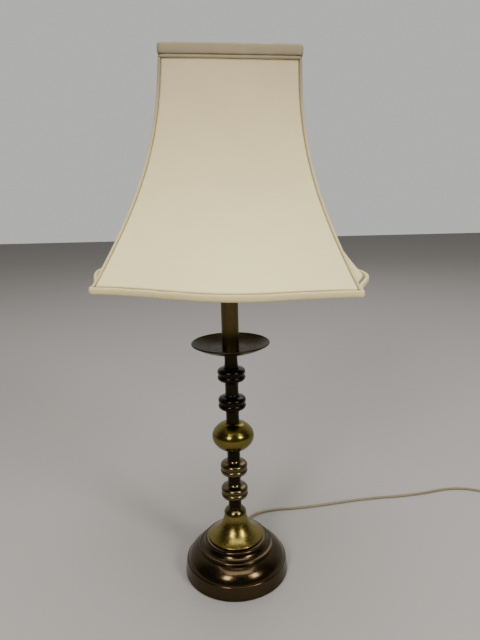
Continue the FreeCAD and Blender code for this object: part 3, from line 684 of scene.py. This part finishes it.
def add_shade():
    # the low, middle and high colours are painted light: each cloth is lighter low on the shade and darker
    # towards its top
    fabric = cloth("ivory_cloth", low=(0.97, 0.87, 0.47), middle=(0.83, 0.705, 0.405),
                   high=(0.64, 0.53, 0.325))
    tape = cloth("ivory_tape", low=(0.72, 0.61, 0.32), middle=(0.62, 0.52, 0.30), high=(0.31, 0.26, 0.17),
                 thread=0.6, slub=0.8)
    lining = cloth("lining", low=(0.84, 0.80, 0.68), middle=(0.82, 0.77, 0.65), high=(0.78, 0.72, 0.60),
                   thread=0.5, slub=0.3)
    high = SHADE_HIGH
    trim_mid = high - 0.5 * TRIM_HEIGHT
    piping_mid = high - TRIM_HEIGHT - 0.5 * PIPING_HEIGHT
    trim = rolled_ring("top_roll", SHADE_TOP + 0.4, NO_BOWS, corner=4.0, middle=trim_mid, thick=4.9,
                       tall=TRIM_HEIGHT, power=3.2, wobble=0.7, seed=1.0, material=tape, node="top_trim")
    piping = rolled_ring("upper_piping", SHADE_TOP + 0.1, NO_BOWS, corner=3.4, middle=piping_mid, thick=3.5,
                         tall=PIPING_HEIGHT - 0.5, power=2.0, wobble=0.7, seed=1.0, material=tape,
                         node="top_piping")
    hem = rolled_ring("hem_roll", SHADE_BOTTOM - 1.5, BOWS, corner=3.0, middle=SHADE_LOW + 0.5 * HEM_HEIGHT,
                      thick=4.7, tall=HEM_HEIGHT, power=2.8, wobble=0.6, seed=5.0, material=tape,
                      node="bottom_hem")
    corners = ("front_right", "back_right", "back_left", "front_left")
    seams = [corner_piping(corner, quarter, tape) for quarter, corner in enumerate(corners)]
    for quarter, (side, wide, tall, area) in enumerate(PANELS):
        piece = panel(side, quarter, fabric, lining)


# ---------------------------------------------------------------------------- cord

def cord_points():
    """The route in millimetres: along the floor to the right, then round the coil and to the plug."""
    along = Vector((math.sin(LEAD_TURN), math.cos(LEAD_TURN), 0))
    start = along * (FOOT_RADIUS + 1.0 + RELIEF_LENGTH)
    points = [start + Vector((0, 0, LEAD_HEIGHT)), start + along * 13 + Vector((0, 0, LEAD_HEIGHT - 0.8))]
    for x, y, rise in CORD_ROUTE:
        points.append(Vector((x, y, CORD_FLOOR + rise)))
    points += coil_points()
    return points + plug_bend(points[-1])


def coil_points():
    """Six turns and a bit in three columns and three layers."""
    # column and layer at the start of each turn
    spots = [(0, 0), (1, 0), (2, 0), (2, 1), (1, 1), (0, 1), (0, 2), (0, 2)]
    points = []
    for step in range(COIL_TURNS * COIL_PER_TURN + COIL_EXTRA_STEPS):
        turn, part = divmod(step / COIL_PER_TURN, 1.0)
        change = max(0.0, (part - 0.4) / 0.6)
        change = change * change * (3 - 2 * change)
        column, layer = spots[int(turn)]
        next_column, next_layer = spots[int(turn) + 1]
        radius = COIL_COLUMNS[column] * (1 - change) + COIL_COLUMNS[next_column] * change
        level = layer * (1 - change) + next_layer * change
        angle = COIL_START + 2 * math.pi * step / COIL_PER_TURN
        points.append(Vector((COIL_X + radius * math.cos(angle), COIL_Y + radius * math.sin(angle),
                              CORD_FLOOR + level * (CORD_THICK + 0.02))))
    return points


def plug_bend(last):
    """One easy bend from the coil's last point into the plug."""
    heading = Vector((-math.sin(PLUG_TURN), math.cos(PLUG_TURN), 0))
    plug = Vector(PLUG_PLACE)
    corner = plug - heading * PLUG_LEAD
    points = []
    for share in (0.2, 0.4, 0.6, 0.8):
        points.append(last * (1 - share) ** 2 + corner * (2 * share * (1 - share)) + plug * share ** 2)
    points.append(plug + heading * 1.0)
    return points


def smooth_line(points):
    """The cord's own NURBS spline, and the close points that it gives."""
    curve = bpy.data.curves.new("cord_line", "CURVE")
    curve.dimensions = "3D"
    curve.resolution_u = 8
    spline = curve.splines.new("NURBS")
    spline.points.add(len(points) - 1)
    for target, point in zip(spline.points, points):
        target.co = (*(point * MM), 1)
    spline.order_u = 3
    spline.use_endpoint_u = True
    holder = bpy.data.objects.new("cord_line", curve)
    bpy.context.scene.collection.objects.link(holder)
    bpy.context.view_layer.update()
    mesh = bpy.data.meshes.new_from_object(holder)
    line = [vertex.co.copy() for vertex in mesh.vertices]
    bpy.data.objects.remove(holder)
    bpy.data.meshes.remove(mesh)
    return line


def lobed_section():
    """Outline across the cord: two round lobes side by side."""
    section = []
    for side, first in ((1, -105), (-1, 75)):
        for step in range(LOBE_POINTS):
            angle = math.radians(first + LOBE_STEP * step)
            across = side * LOBE_OFFSET + LOBE_RADIUS * math.cos(angle)
            section.append((across, LOBE_RADIUS * math.sin(angle)))
    return section


def swept(line, section):
    """The section's points at every point of the line, with its width level."""
    points = []
    for index, centre in enumerate(line):
        ahead = line[min(index + 1, len(line) - 1)] - line[max(index - 1, 0)]
        side = ahead.cross(Vector((0, 0, 1))).normalized()
        up = side.cross(ahead).normalized()
        points += [centre + side * across + up * rise for across, rise in section]
    return points


def mark_cores(piece, section):
    """Point attribute that is 1 over each strand and 0 in the groove between them."""
    core = piece.data.attributes.new("core", "FLOAT", "POINT")
    for index in range(len(piece.data.vertices)):
        across = abs(section[index % len(section)][0])
        core.data[index].value = min(1.0, max(0.0, (across - 0.25 * LOBE_OFFSET) / (0.5 * LOBE_OFFSET)))


def add_cord(material):
    line = smooth_line(cord_points())
    section = lobed_section()
    faces = closed_tube_faces(len(line), len(section))
    piece = new_piece("lead", swept(line, section), faces, [material], "lamp",
                      ("cord_tube", "cord_coil"))
    mark_cores(piece, section)


# ---------------------------------------------------------------------------- CAD nodes

def finish_nodes(names, material):
    for name in names:
        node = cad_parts[name]
        if not node.material_slots:
            node.data.materials.append(material)
        for slot in node.material_slots:
            slot.link = "OBJECT"
            slot.material = material


def paint_nodes():
    for name, bright, dark, rough, wear, nodes in BRASSES:
        finish_nodes(nodes, aged_brass(name, bright, dark, rough, wear))
    finish_nodes(["socket_cap", "socket_shell", "harp_saddle", "harp_bow", "harp_stud", "ferrule_left",
                  "ferrule_right", "finial", "plug_blades"],
                 plain_metal("plain_brass", (0.74, 0.56, 0.27), 0.28))
    finish_nodes(["lock_washer", "lock_nut", "threaded_pipe", "top_nipple", "shade_top_ring",
                  "shade_bottom_ring", "shade_ribs", "shade_spider", "bulb_contact"],
                 plain_metal("zinc_steel", (0.60, 0.60, 0.59), 0.38))
    finish_nodes(["bulb_base", "screw_shell"], plain_metal("rolled_metal", (0.80, 0.79, 0.76), 0.3, 150))
    finish_nodes(["base_weight"], cast_metal())
    finish_nodes(["base_felt"], felt())
    finish_nodes(["bulb_glass"], frosted_glass())
    finish_nodes(["paper_liner"], fibre_paper())
    phenolic = moulded("phenolic", (0.035, 0.028, 0.024), 0.3)
    finish_nodes(["socket_core", "switch_shaft", "switch_knob"], phenolic)
    vinyl = moulded("brown_vinyl", (0.34, 0.26, 0.14), 0.42)
    finish_nodes(["strain_relief", "inner_cord", "plug_body"], vinyl)


# ---------------------------------------------------------------------------- whole scene

add_camera()
add_lights()
add_world()
add_floor()
add_cord(gold_vinyl())
add_shade()
paint_nodes()
